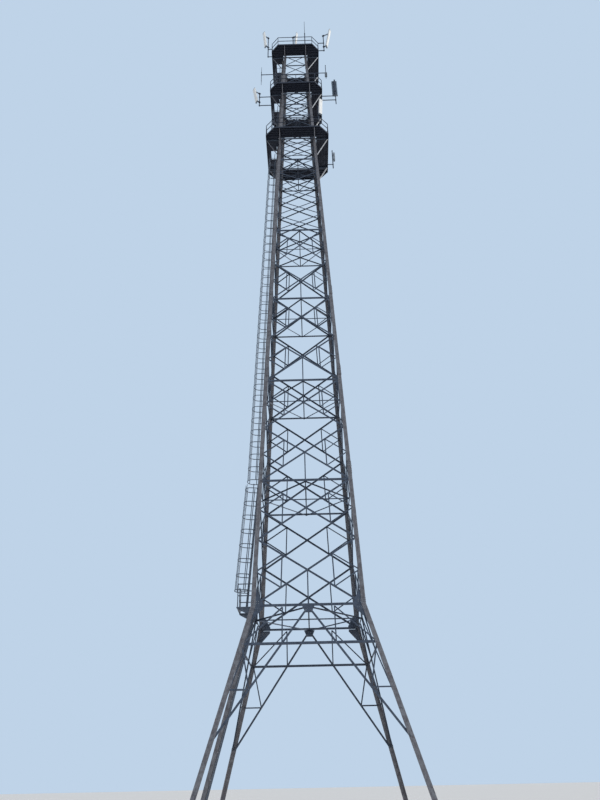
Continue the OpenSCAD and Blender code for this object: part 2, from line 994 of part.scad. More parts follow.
unit_x = 1235;
unit_below = 380;
unit_pole_r = 14;
module radio_unit_top() {
    box = [100, 50, 300];
    color(steel) {
        tube_x(arm_root, unit_x, arm_y, arm_z);
        translate([unit_x, arm_y, arm_z - unit_below])
            cylinder(h = unit_below + 560, r = unit_pole_r, $fn = 24);
        translate([unit_x - box[0] / 2, arm_y - box[1] - unit_pole_r + 4, arm_z - unit_below + 30])
            cube(box);
    }
}

low_unit = [1350, 500];
module radio_unit_low() {
    box = [70, 120, 420];
    color(steel) {
        tube_x(deck_low_half, low_unit[0], low_unit[1], beam_mid(low_z));
        translate([low_unit[0], low_unit[1], low_z - 250])
            cylinder(h = 1050, r = pole_r, $fn = 24);
        translate([low_unit[0] + pole_r - 2, low_unit[1] - box[1] / 2, low_z + 200])
            cube(box);
    }
}

base_plates();
leg(0);  // leg_front_right
leg(1);  // leg_back_right
leg(2);  // leg_back_left
leg(3);  // leg_front_left
base_bracing(0);  // base_bracing_front
base_bracing(1);  // base_bracing_right
base_bracing(2);  // base_bracing_back
base_bracing(3);  // base_bracing_left
body_bracing(0);  // body_bracing_front
body_bracing(1);  // body_bracing_right
body_bracing(2);  // body_bracing_back
body_bracing(3);  // body_bracing_left
upper_bracing(0);  // upper_bracing_front
upper_bracing(1);  // upper_bracing_right
upper_bracing(2);  // upper_bracing_back
upper_bracing(3);  // upper_bracing_left
plan_bracing();
deck(low_z, deck_low_half);  // low_deck
deck(mid_z, deck_mid_half);  // mid_deck
deck(top_z, deck_top_half);  // top_deck
deck_frame(low_z, deck_low_half);  // low_deck_frame
deck_frame(mid_z, deck_mid_half);  // mid_deck_frame
deck_frame(top_z, deck_top_half);  // top_deck_frame
deck_brackets(low_z, deck_low_half);  // low_deck_brackets
deck_brackets(mid_z, deck_mid_half);  // mid_deck_brackets
deck_brackets(top_z, deck_top_half);  // top_deck_brackets
railing(low_z, deck_low_half);  // low_railing
railing(mid_z, deck_mid_half);  // mid_railing
railing(top_z, deck_top_half);  // top_railing
ladder();
cage_side(1);  // cage_front_side
cage_side(-1);  // cage_back_side
cage_outer_side();
waist_landing();
cable_tray();
feeder_cables();
lightning_rod();
top_antenna_poles();
mid_antenna_poles();
low_antenna_poles();
panel(top_right);  // panel_top_right
panel(top_left);  // panel_top_left
panel(top_front);  // panel_top_front
panel(mid_left);  // panel_mid_left
panel(mid_right);  // panel_mid_right
panel(low_right);  // panel_low_right
whip_antenna();
radio_unit_top();
radio_unit_low();
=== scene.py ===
"""A lattice cell tower at 1:2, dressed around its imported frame: bolts, railings, antennas."""
import math
from collections import namedtuple

import bmesh
import bpy
from mathutils import Matrix, Vector


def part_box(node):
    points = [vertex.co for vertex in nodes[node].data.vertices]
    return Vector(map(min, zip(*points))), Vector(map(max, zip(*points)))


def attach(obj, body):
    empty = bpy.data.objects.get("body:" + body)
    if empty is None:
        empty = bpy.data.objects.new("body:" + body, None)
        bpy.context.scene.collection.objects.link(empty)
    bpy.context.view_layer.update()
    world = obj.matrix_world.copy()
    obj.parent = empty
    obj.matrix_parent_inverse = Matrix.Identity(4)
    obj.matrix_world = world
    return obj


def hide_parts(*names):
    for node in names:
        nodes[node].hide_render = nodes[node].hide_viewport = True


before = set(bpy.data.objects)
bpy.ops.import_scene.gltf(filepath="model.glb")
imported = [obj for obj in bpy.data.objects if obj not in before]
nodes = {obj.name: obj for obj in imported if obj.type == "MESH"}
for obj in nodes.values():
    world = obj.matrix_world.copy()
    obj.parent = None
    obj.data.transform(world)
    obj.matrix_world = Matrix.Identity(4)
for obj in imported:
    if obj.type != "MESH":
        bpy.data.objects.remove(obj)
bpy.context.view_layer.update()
scene = bpy.context.scene
MM = 0.001

# The sides in the order of their quarter turns from the front
SIDES = ("front", "right", "back", "left")
RIGHT = SIDES.index("right")
LEFT = SIDES.index("left")

# The tower's heights and half widths, as its solids have them
WAIST_Z = 4.1
GROUND_HALF = 2.3
WAIST_HALF = 1.25
TOP_HALF = 0.472
BAYS = 4
BAY = 3.0
PANEL = 0.75
HEAD_PANEL = 0.625
TOP_PANEL = 0.7
UPPER_Z = WAIST_Z + BAYS * BAY
HEAD_Z = UPPER_Z + 5 * PANEL
LOW_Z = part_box("low_deck")[0].z
MID_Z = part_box("mid_deck")[0].z
TOP_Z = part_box("top_deck")[0].z
DECK_LEVELS = [
    *(LOW_Z + PANEL * i for i in range(4)),
    *(MID_Z + TOP_PANEL * i for i in range(5)),
]
PANEL_LEVELS = [
    *(UPPER_Z + PANEL * i for i in range(5)),
    *(HEAD_Z + HEAD_PANEL * i for i in range(2)),
    *DECK_LEVELS,
]
BASE_LEAN = (GROUND_HALF - WAIST_HALF) / WAIST_Z
BODY_LEAN = (WAIST_HALF - TOP_HALF) / (TOP_Z - WAIST_Z)
BASE_TILT = math.atan(BASE_LEAN)
BODY_TILT = math.atan(BODY_LEAN)

# Legs and bracing; a brace's end bolts sit at LAP from the leg's outer edge
LEG_T = 9 * MM
LEG_W = 100 * MM
FOOT_T = 20 * MM
ANCHOR_OFF = 120 * MM
BRACE_T = 5 * MM
LAP = 62 * MM
VEE_FOOT_Z = 1.5
VEE_TOP_Z = WAIST_Z - 43 * MM
BASE_CHORD_Z = 3.28
BASE_TOP_Z = WAIST_Z - 28 * MM

# Decks
DECK_CUT = 0.28
DECK_T = 6 * MM
RAIL_H = 0.55
RAIL_R = 12 * MM
POST_R = 10.8 * MM
RAIL_INSET = 4 * MM
BEAM_H = 60 * MM
BEAM_WALL = 5 * MM
KNEE_W = 34 * MM
FLANGE = 26 * MM

# Ladder and cage; the flight above the waist leans out, and its foot stands on the landing
LADDER_U = 0.05
LADDER_W = 0.2
LADDER_GAP = 0.06
STILE_W = 30 * MM
LANDING_TOP = 0.246
LEAN_V = LANDING_TOP / math.cos(BODY_TILT) - 6 * MM
LEAN_GAP = 0.21
LEAN_IN = 0.1
LEAN = math.atan(LEAN_IN / (BAY / math.cos(BODY_TILT) - LEAN_V))
FLIGHT_OVERLAP = 0.4
CAGE_R = 0.161
CAGE_DEEP = 0.16
CAGE_FOOT = 0.39
CAGE_OVER_DECK = 1.05
CAGE_UNDER_DECK = 0.12
HOOP_W = 20 * MM
HOOP_T = 4 * MM
HOOP_STEP = 0.375
HOOP_BENDS = 20
HOOP_BOLT_U = 0.13

# Cable run
TRAY_U = 0.235
TRAY_W = 0.15
TRAY_GAP = 12 * MM
RUNG_T = 8 * MM
CABLE_R = 9 * MM
HANGER_STEP = 0.5

# Antennas, radio units and lightning rod
POLE_R = 19 * MM
HINGE_OUT = 62 * MM
PANEL_GAP = 30 * MM
PANEL_DROP = 80 * MM
ARM_SHARE = 0.72
ARM_Z = MID_Z + 2 * TOP_PANEL + 0.11
ARM_W = 24 * MM
WHIP_X = -1.41
WHIP_R = 12 * MM
UNIT_X = 1.235
UNIT_POLE_R = 14 * MM
UNIT_SIZE = (0.1, 0.05, 0.3)
LOW_UNIT = (1.35, 0.5, LOW_Z)
LOW_UNIT_SIZE = (0.12, 0.07, 0.42)
ROD_R = 20 * MM
ROD_TIP_R = 9 * MM
ROD_JOINT = 1.6
ROD_POINT = 0.12


def half_at(z):
    """Half width over the legs' outer faces at a height."""
    if z < WAIST_Z:
        return GROUND_HALF - BASE_LEAN * z
    return WAIST_HALF - BODY_LEAN * (z - WAIST_Z)


def slope_at(z):
    """Distance up a side's own slope, from the ground or from the waist."""
    if z < WAIST_Z:
        return z / math.cos(BASE_TILT)
    return (z - WAIST_Z) / math.cos(BODY_TILT)


def at(x, y, z=0.0):
    return Matrix.Translation((x, y, z))


def spin(degrees, axis="Z"):
    return Matrix.Rotation(math.radians(degrees), 4, axis)


def turned(turn):
    return spin(90 * turn)


def base_side(turn):
    """Outer plane of a side of the splayed base: x across, y up the slope, z outwards."""
    tip = Matrix.Rotation(math.radians(90) - BASE_TILT, 4, "X")
    return turned(turn) @ at(0, -GROUND_HALF) @ tip


def body_side(turn):
    """Outer plane of a side of the body, from the waist up."""
    tip = Matrix.Rotation(math.radians(90) - BODY_TILT, 4, "X")
    return turned(turn) @ at(0, -WAIST_HALF, WAIST_Z) @ tip


# The camera stands where the photograph was taken, at half scale
FOCAL_PX = 620
FRAME_LONG_PX = 800
EYE = (0.057, -15.0, 0.75)
PITCH, YAW, ROLL = math.radians(31.94), math.radians(0.61), math.radians(-1.17)


def make_camera():
    lens = bpy.data.cameras.new("camera")
    lens.sensor_width = 36
    lens.lens = lens.sensor_width * FOCAL_PX / FRAME_LONG_PX
    lens.clip_end = 500
    camera = bpy.data.objects.new("camera", lens)
    aim = Matrix.Rotation(YAW, 4, "Z") @ Matrix.Rotation(math.radians(90) + PITCH, 4, "X")
    camera.matrix_world = Matrix.Translation(EYE) @ aim @ Matrix.Rotation(ROLL, 4, "Z")
    scene.collection.objects.link(camera)
    scene.camera = camera


make_camera()


# Materials


def srgb(code):
    """An sRGB hex value as linear RGBA."""
    parts = [int(code[i:i + 2], 16) / 255 for i in (1, 3, 5)]
    linear = [c / 12.92 if c <= 0.04045 else ((c + 0.055) / 1.055) ** 2.4 for c in parts]
    return (*linear, 1)


def add(tree, kind, inputs=None, **settings):
    """Adds a node, sets its properties, and fills its sockets with values or nodes' outputs."""
    made = tree.nodes.new(kind)
    for name, value in settings.items():
        setattr(made, name, value)
    for socket, value in (inputs or {}).items():
        if isinstance(value, bpy.types.NodeSocket):
            tree.links.new(value, made.inputs[socket])
        else:
            made.inputs[socket].default_value = value
    return made


def new_finish(name):
    """A material with its shader, its output and its Object coordinates."""
    finish = bpy.data.materials.new(name)
    finish.use_nodes = True
    tree = finish.node_tree
    tree.nodes.clear()
    shader = add(tree, "ShaderNodeBsdfPrincipled")
    add(tree, "ShaderNodeOutputMaterial", {"Surface": shader.outputs[0]})
    place = add(tree, "ShaderNodeTexCoord").outputs["Object"]
    return finish, tree, shader, place


def patches(tree, place, size, low, high, detail=5, down=1):
    """Where a finish differs: soft patches of a size, drawn out downwards where dirt has run."""
    spread = add(tree, "ShaderNodeMapping",
                 {"Vector": place, "Scale": (1 / size, 1 / size, 1 / size / down)})
    cloud = add(tree, "ShaderNodeTexNoise",
                {"Vector": spread.outputs[0], "Scale": 1, "Detail": detail})
    edge = add(tree, "ShaderNodeMapRange",
               {"Value": cloud.outputs["Fac"], "From Min": low, "From Max": high})
    return edge.outputs[0]


def tinted(tree, under, over, where, strength=1.0, blend="MIX"):
    """One colour laid over another where a pattern says, as strongly as it says."""
    share = add(tree, "ShaderNodeMath", {0: where, 1: strength}, operation="MULTIPLY")
    mix = add(tree, "ShaderNodeMix", {0: share.outputs[0], 6: under, 7: over},
              data_type="RGBA", blend_type=blend)
    return mix.outputs[2]


def roughened(tree, shader, place, size, strength, height):
    """A fine grain that breaks the highlight, felt more than seen."""
    grain = add(tree, "ShaderNodeTexNoise", {"Vector": place, "Scale": 1 / size, "Detail": 2})
    bump = add(tree, "ShaderNodeBump",
               {"Height": grain.outputs["Fac"], "Strength": strength, "Distance": height})
    tree.links.new(bump.outputs[0], shader.inputs["Normal"])


def galvanised(name, fresh, dull, stain, rough=0.55, rust=0.5):
    """Hot-dip galvanised steel after years outdoors: the zinc has gone dull and cloudy, so it is
    barely metallic; dirt runs down it and rust shows in spots. Its spangle is drawn at 12 mm, twice
    as coarse as real. The deck steel's base colours given here are painted shade, and the right
    knees' pale ones are painted sunlight."""
    finish, tree, shader, place = new_finish(name)
    clouds = patches(tree, place, 90 * MM, 0.35, 0.68)
    colour = tinted(tree, srgb(fresh), srgb(dull), clouds)
    cells = add(tree, "ShaderNodeTexVoronoi", {"Vector": place, "Scale": 1 / (12 * MM)})
    spangle = add(tree, "ShaderNodeRGBToBW", {"Color": cells.outputs["Color"]})
    colour = tinted(tree, colour, srgb(fresh), spangle.outputs[0], 0.35, "SCREEN")
    runs = patches(tree, place, 20 * MM, 0.52, 0.72, detail=3, down=14)
    colour = tinted(tree, colour, srgb(stain), runs, 0.6)
    spots = patches(tree, place, 50 * MM, 0.66, 0.72, detail=8)
    colour = tinted(tree, colour, srgb("#6a3d24"), spots, rust)
    gloss = add(tree, "ShaderNodeMapRange",
                {"Value": clouds, "To Min": rough - 0.1, "To Max": rough + 0.15})
    tree.links.new(colour, shader.inputs["Base Color"])
    tree.links.new(gloss.outputs[0], shader.inputs["Roughness"])
    shader.inputs["Metallic"].default_value = 0.3
    roughened(tree, shader, place, 4 * MM, 0.25, 0.6 * MM)
    return finish


LEG_STEEL = galvanised("weathered_leg_steel", "#737479", "#56545a", "#3c3b42")
BRACE_STEEL = galvanised("weathered_brace_steel", "#46505f", "#333d4d", "#262c38", rust=0.3)
# Painted shade: the decks and their joists get a near-black navy base colour, the dark of the
# decks' shaded undersides. Their stains and rust are real.
DECK_STEEL_PAINTED_SHADE = galvanised("weathered_deck_steel_painted_shade", "#262c3a", "#1b2130", "#15181f", rust=0.25)
RAIL_STEEL = galvanised("weathered_rail_pipe", "#2a3242", "#1d2433", "#161a23", rust=0.3)
LADDER_STEEL = galvanised("weathered_ladder_steel", "#5d6673", "#454d5a", "#33373f")
POLE_STEEL = galvanised("weathered_pole_steel", "#3b4555", "#2a3241", "#1e232d", rust=0.3)
# Painted sunlight: a pale copy of the leg steel for the knees on the right, lighter on the side the
# sun falls on. Its stains and rust are real.
KNEE_STEEL_PAINTED_SUNLIGHT = galvanised("right_knee_steel_painted_sunlight", "#e2e3e4", "#c6c8cb", "#909297",
                        rough=0.5, rust=0.35)


def zinc_bolts():
    """Newer hot-dip zinc on bolts and nuts: paler and a little shinier than the angles."""
    finish, tree, shader, place = new_finish("zinc_bolts")
    dull = patches(tree, place, 400 * MM, 0.4, 0.62, detail=3)
    colour = tinted(tree, srgb("#8d9299"), srgb("#5c5f66"), dull)
    rust = patches(tree, place, 30 * MM, 0.6, 0.7)
    colour = tinted(tree, colour, srgb("#6d4630"), rust, 0.6)
    tree.links.new(colour, shader.inputs["Base Color"])
    shader.inputs["Metallic"].default_value = 0.55
    shader.inputs["Roughness"].default_value = 0.42
    return finish


def cable_jacket():
    """Black polyethylene cable jacket, greyed by sun, with the corrugated tube just felt through.
    The texture's bands repeat every pi / 10 at a scale of 1; the tube's rings are 4 mm apart on
    this model."""
    finish, tree, shader, place = new_finish("black_cable_jacket")
    greyed = patches(tree, place, 250 * MM, 0.38, 0.66, detail=4, down=4)
    colour = tinted(tree, srgb("#23272d"), srgb("#3a3f47"), greyed)
    tree.links.new(colour, shader.inputs["Base Color"])
    shader.inputs["Roughness"].default_value = 0.5
    rings = add(tree, "ShaderNodeTexWave",
                {"Vector": place, "Scale": math.pi / 10 / (4 * MM), "Distortion": 0.4},
                bands_direction="Z")
    bump = add(tree, "ShaderNodeBump",
               {"Height": rings.outputs["Fac"], "Strength": 0.2, "Distance": 1 * MM})
    tree.links.new(bump.outputs[0], shader.inputs["Normal"])
    return finish


def glass_fibre_shell(name, pale, soiled):
    """Gel-coated glass-fibre radome: satin, a little chalked, with dirt that has run down it."""
    finish, tree, shader, place = new_finish(name)
    chalk = patches(tree, place, 180 * MM, 0.4, 0.7)
    colour = tinted(tree, srgb(pale), srgb(soiled), chalk, 0.45)
    runs = patches(tree, place, 18 * MM, 0.56, 0.75, detail=3, down=18)
    colour = tinted(tree, colour, srgb("#8d9297"), runs, 0.5)
    gloss = add(tree, "ShaderNodeMapRange", {"Value": chalk, "To Min": 0.38, "To Max": 0.6})
    tree.links.new(colour, shader.inputs["Base Color"])
    tree.links.new(gloss.outputs[0], shader.inputs["Roughness"])
    roughened(tree, shader, place, 5 * MM, 0.12, 0.4 * MM)
    return finish


def powder_coat(name, fresh, worn):
    """Powder-coated cast aluminium: fine orange peel, worn to a chalky tone in places."""
    finish, tree, shader, place = new_finish(name)
    chalky = patches(tree, place, 70 * MM, 0.4, 0.68)
    colour = tinted(tree, srgb(fresh), srgb(worn), chalky)
    tree.links.new(colour, shader.inputs["Base Color"])
    shader.inputs["Roughness"].default_value = 0.55
    roughened(tree, shader, place, 2 * MM, 0.2, 0.3 * MM)
    return finish


ZINC = zinc_bolts()
CABLE_JACKET = cable_jacket()
RADOME = glass_fibre_shell("off_white_radome", "#f2f4f4", "#c9ced0")
# Painted shade: a bluish-grey copy of the off-white radome, darkened to the shade the mid-right
# panel stands in. Its chalking and dirt runs are real.
SHADED_RADOME = glass_fibre_shell("radome_painted_shade", "#7d91a3", "#5f7386")
UNIT_GREY = powder_coat("grey_powder_coat", "#8b95a0", "#6c7680")

for name, node in nodes.items():
    finish = LEG_STEEL
    if "bracing" in name:
        finish = BRACE_STEEL
    elif "deck" in name:
        finish = DECK_STEEL_PAINTED_SHADE
    elif "cables" in name:
        finish = CABLE_JACKET
    elif name.startswith(("ladder", "waist")):
        finish = LADDER_STEEL
    elif "antenna" in name:
        finish = POLE_STEEL
    for slot in node.material_slots:
        slot.material = finish


# Shapes that many pieces share


def piece(name, shape, finish, body="tower", stands_for=()):
    """Turns a finished shape into an object that rides a body, and stands for the named solids."""
    bmesh.ops.recalc_face_normals(shape, faces=shape.faces)
    mesh = bpy.data.meshes.new(name)
    shape.to_mesh(mesh)
    shape.free()
    made = bpy.data.objects.new(name, mesh)
    scene.collection.objects.link(made)
    mesh.materials.append(finish)
    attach(made, body)
    if stands_for:
        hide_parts(*stands_for)
    return made


def edges_of(verts):
    return list(dict.fromkeys(e for v in verts for e in v.link_edges))


def faces_of(verts):
    return list(dict.fromkeys(f for v in verts for f in v.link_faces))


def block(shape, place, size, edge=0.0, rounds=1):
    """A block centred on a place, its edges broken."""
    made = bmesh.ops.create_cube(shape, size=1, matrix=place @ Matrix.Diagonal((*size, 1)))
    if edge:
        bmesh.ops.bevel(shape, geom=edges_of(made["verts"]), offset=edge, segments=rounds,
                        affect="EDGES", profile=0.5, material=-1)


def bar(shape, place, radius, length, sides=16, tip=None):
    """A round bar that starts at a place and runs along its z axis; six sides make a nut."""
    made = bmesh.ops.create_cone(shape, cap_ends=True, segments=sides, radius1=radius,
                                 radius2=radius if tip is None else tip, depth=length,
                                 matrix=place @ at(0, 0, length / 2))
    if sides > 6:
        for face in faces_of(made["verts"]):
            face.smooth = len(face.verts) == 4


def facing(point, heading, up=(0, 0, 1)):
    """A frame at a point: z along the heading, x as near to up as it can be."""
    z = Vector(heading).normalized()
    x = Vector(up) - z * Vector(up).dot(z)
    x = x.normalized() if x.length > 0.01 else z.orthogonal().normalized()
    turn = Matrix((x, z.cross(x), z)).transposed().to_4x4()
    return Matrix.Translation(point) @ turn


def sweep(shape, path, verts, closed=False, smooth=True):
    """Extrudes a ring of vertices along a path, mitred at each corner."""
    points = [Vector(p) for p in path]
    count = len(points)

    def heading(i):
        return (points[(i + 1) % count] - points[i % count]).normalized()

    def slide(moved, i, along):
        """Moves vertices along a heading, on to the mitre plane of a point of the path."""
        ends_here = not closed and i in (0, count - 1)
        plane = along if ends_here else (heading(i - 1) + heading(i)).normalized()
        for vert in moved:
            vert.co += along * ((points[i % count] - vert.co).dot(plane) / along.dot(plane))

    slide(verts, 0, heading(0))
    ring = edges_of(verts)
    first = list(ring)
    moved = verts
    for step in range(count if closed else count - 1):
        out = bmesh.ops.extrude_edge_only(shape, edges=ring)["geom"]
        moved = [g for g in out if isinstance(g, bmesh.types.BMVert)]
        ring = [g for g in out if isinstance(g, bmesh.types.BMEdge)]
        for face in out:
            if isinstance(face, bmesh.types.BMFace):
                face.smooth = smooth
        slide(moved, step + 1, heading(step))
        ring = [e for e in ring if all(v in moved for v in e.verts)]
    if closed:
        bmesh.ops.remove_doubles(shape, verts=list(verts) + moved, dist=0.01 * MM)
    else:
        bmesh.ops.contextual_create(shape, geom=first)
        bmesh.ops.contextual_create(shape, geom=ring)


def pipe(shape, path, radius, sides=12, closed=False):
    start = facing(path[0], Vector(path[1]) - Vector(path[0]))
    made = bmesh.ops.create_circle(shape, segments=sides, radius=radius, matrix=start)
    sweep(shape, path, made["verts"], closed)


def strip(shape, path, across, width, thick):
    """A flat bar bent along a path, its width along the direction across."""
    start = facing(path[0], Vector(path[1]) - Vector(path[0]), across)
    made = bmesh.ops.create_grid(shape, x_segments=1, y_segments=1, size=0.5,
                                 matrix=start @ Matrix.Diagonal((width, thick, 1, 1)))
    verts = made["verts"]
    bmesh.ops.delete(shape, geom=faces_of(verts), context="FACES_ONLY")
    sweep(shape, path, verts, smooth=False)


def plate(shape, place, outline, thick):
    """A flat plate: its outline in a place's x and y, its thickness along z."""
    verts = [shape.verts.new(place @ Vector((x, y, 0))) for x, y in outline]
    face = shape.faces.new(verts)
    out = bmesh.ops.extrude_face_region(shape, geom=[face])["geom"]
    moved = [g for g in out if isinstance(g, bmesh.types.BMVert)]
    bmesh.ops.translate(shape, verts=moved, vec=(place.to_3x3() @ Vector((0, 0, thick))))


# Bolts


BOLT_R = 8.5 * MM
WASHER_T = 2 * MM
HEAD_H = 5.5 * MM
NUT_H = 6.5 * MM
THREAD_END = 4 * MM
# Degrees a bolt is turned for each metre along its brace, so that two in a row differ
NUT_TURN = 17 / MM

# How far along a brace its end bolts are, for each kind of brace
CHORD_BOLTS = (0.0, 0.02)
DIAGONAL_BOLTS = (0.018, 0.045)
STRUT_BOLTS = (0.012,)
VEE_BOLTS = (0.012, 0.035, 0.058)
UPPER_BOLTS = (0.02,)
UPPER_CHORD_BOLTS = (0.005,)

# Bolts of the gusset plates: columns in from the leg's edge, rows from the plate's root
BODY_COLUMNS = (0.032, 0.075, 0.118, 0.165)
BASE_COLUMNS = (*BODY_COLUMNS, 0.208)
LEG_ROWS = (0.045, 0.085, 0.125)
BRACE_ROWS = LEG_ROWS[:2]
PEAK_ROWS = (0.05, 0.09, 0.13)

SPLICE_UP = 0.32
SPLICE_W, SPLICE_H, SPLICE_T = 0.086, 0.34, 6 * MM
SPLICE_COLUMNS = (-0.022, 0.022)
SPLICE_ROWS = (-0.14, -0.09, -0.04, 0.04, 0.09, 0.14)


def bolt_stock(grip):
    """A hexagon bolt through a grip: head and washer above, nut and thread end below."""
    shape = bmesh.new()
    bar(shape, at(0, 0), BOLT_R * 1.25, WASHER_T, 8)
    bar(shape, at(0, 0, WASHER_T), BOLT_R, HEAD_H, 6)
    bar(shape, at(0, 0, -grip - NUT_H), BOLT_R, NUT_H, 6)
    bar(shape, at(0, 0, -grip - NUT_H - THREAD_END), BOLT_R * 0.55, THREAD_END, 6)
    mesh = bpy.data.meshes.new("bolt_stock")
    shape.to_mesh(mesh)
    shape.free()
    return mesh


LEG_BOLT = bolt_stock(LEG_T + BRACE_T)
LAP_BOLT = bolt_stock(BRACE_T)
SPLICE_BOLT = bolt_stock(LEG_T + SPLICE_T)


def stamp(shape, stock, place):
    copy = stock.copy()
    copy.transform(place)
    shape.from_mesh(copy)
    bpy.data.meshes.remove(copy)


def corner(sign, z):
    """Where braces meet a leg, in a side's plane."""
    return Vector((sign * (half_at(z) - LAP), slope_at(z)))


def crossing(za, zb):
    """Where the two diagonals of a panel cross."""
    share = (half_at(za) - LAP) / (half_at(za) + half_at(zb) - 2 * LAP)
    return Vector((0, slope_at(za) + (slope_at(zb) - slope_at(za)) * share))


def end_bolts(shape, side, start, end, steps):
    """Bolts at one end of a brace, through the leg's flange."""
    run = (end - start).normalized()
    for step in steps:
        spot = start + run * step
        stamp(shape, LEG_BOLT, side @ at(spot.x, spot.y) @ spin(NUT_TURN * step))


def lap_bolt(shape, side, spot):
    """A bolt where two braces lap, behind the leg's flange."""
    stamp(shape, LAP_BOLT, side @ at(spot.x, spot.y, -LEG_T))


def cross_bolts(shape, side, za, zb, steps):
    for sign in (-1, 1):
        low, high = corner(sign, za), corner(-sign, zb)
        end_bolts(shape, side, low, high, steps)
        end_bolts(shape, side, high, low, steps)
    lap_bolt(shape, side, crossing(za, zb))


def level_bolts(shape, side, z, steps):
    for sign in (-1, 1):
        end_bolts(shape, side, corner(sign, z), corner(-sign, z), steps)


def strut_bolts(shape, side, za, zb):
    for sign in (-1, 1):
        cross = crossing(za, zb)
        low, high = (cross + corner(sign, za)) / 2, (cross + corner(sign, zb)) / 2
        leg = corner(sign, (za + zb) / 2)
        end_bolts(shape, side, leg, Vector((0, leg.y)), STRUT_BOLTS)
        lap_bolt(shape, side, low)
        lap_bolt(shape, side, high)


def gusset_bolts(shape, side, columns, root_at):
    """Bolts of the two gusset plates at the waist; root_at gives the leg's edge and the height
    up the slope for a row."""
    for sign in (-1, 1):
        for across in columns:
            on_leg = across < LEG_W
            for row in LEG_ROWS if on_leg else BRACE_ROWS:
                edge, y = root_at(row)
                stock, lift = (LEG_BOLT, 0) if on_leg else (LAP_BOLT, -LEG_T)
                stamp(shape, stock, side @ at(sign * (edge - across), y, lift))


def body_bolts(turn, name):
    """Every bolt on one side of the body and its short panels."""
    shape = bmesh.new()
    side = body_side(turn)
    for bay in range(BAYS):
        z0 = WAIST_Z + bay * BAY
        zm = z0 + BAY / 2
        for za, zb in ((z0, zm), (zm, z0 + BAY)):
            cross_bolts(shape, side, za, zb, DIAGONAL_BOLTS)
            strut_bolts(shape, side, za, zb)
        level_bolts(shape, side, z0, CHORD_BOLTS)
    for za, zb in zip(PANEL_LEVELS, PANEL_LEVELS[1:]):
        cross_bolts(shape, side, za, zb, UPPER_BOLTS)
    for z in (UPPER_Z, HEAD_Z, *DECK_LEVELS):
        level_bolts(shape, side, z, UPPER_CHORD_BOLTS)
    gusset_bolts(shape, side, BODY_COLUMNS, lambda row: (half_at(WAIST_Z), row))
    piece(name, shape, ZINC)


def base_bolts(turn, name):
    """Every bolt on one side of the base: its horizontal, its inverted V, its struts and plates."""
    shape = bmesh.new()
    side = base_side(turn)
    top_y = slope_at(BASE_TOP_Z)
    peak = Vector((0, slope_at(VEE_TOP_Z)))
    level_bolts(shape, side, BASE_CHORD_Z, CHORD_BOLTS)
    for sign in (-1, 1):
        foot = corner(sign, VEE_FOOT_Z)
        end_bolts(shape, side, foot, peak, VEE_BOLTS)
        share = (VEE_TOP_Z - BASE_CHORD_Z) / (VEE_TOP_Z - VEE_FOOT_Z)
        knot = peak + (foot - peak) * share
        lap_bolt(shape, side, knot)
        low = (knot + foot) / 2
        lap_bolt(shape, side, low)
        leg = corner(sign, (BASE_CHORD_Z + VEE_FOOT_Z) / 2)
        end_bolts(shape, side, Vector((leg.x, low.y)), low, STRUT_BOLTS)
        for step in PEAK_ROWS:
            lap_bolt(shape, side, peak + (foot - peak).normalized() * step)
    gusset_bolts(shape, side, BASE_COLUMNS, lambda row: (half_at(WAIST_Z - row), top_y - row))
    piece(name, shape, ZINC)


def splice_plates(turn, name):
    """Outer plates over the joints of the leg angles, two at each joint of the bays."""
    shape = bmesh.new()
    bolts = bmesh.new()
    side = body_side(turn)
    for z in [WAIST_Z + bay * BAY + SPLICE_UP for bay in range(1, BAYS)]:
        for sign in (-1, 1):
            middle = at(sign * (half_at(z) - LEG_W / 2), slope_at(z))
            spot = side @ middle @ spin(sign * math.degrees(BODY_LEAN))
            block(shape, spot @ at(0, 0, SPLICE_T / 2), (SPLICE_W, SPLICE_H, SPLICE_T), 1.2 * MM)
            for across in SPLICE_COLUMNS:
                for up in SPLICE_ROWS:
                    stamp(bolts, SPLICE_BOLT, spot @ at(across, up, SPLICE_T))
    piece(name, shape, LEG_STEEL)
    piece(name + "_bolts", bolts, ZINC)


for turn, word in enumerate(SIDES):
    body_bolts(turn, f"body_bolts_{word}")
    base_bolts(turn, f"base_bolts_{word}")
    splice_plates(turn, f"splice_plates_{word}")


# Feet


# A stiffener's outline: along the base plate, then up the leg; and its thickness
RIB_OUTLINE = [(0, 0), (0.1, 0), (0.1, 0.014), (-0.03, 0.12), (-0.03, 0)]
RIB_T = 8 * MM
RIB_SPOTS = (-32 * MM, 28 * MM)
ANCHOR_R = 11.5 * MM
ANCHOR_SUNK = 12 * MM
ANCHOR_LONG = 82 * MM
ANCHOR_WASHER_R, ANCHOR_WASHER_T = 26 * MM, 4 * MM
ANCHOR_NUT_R, ANCHOR_NUT_H = 21 * MM, 18 * MM
LOCK_NUT_H = 14 * MM


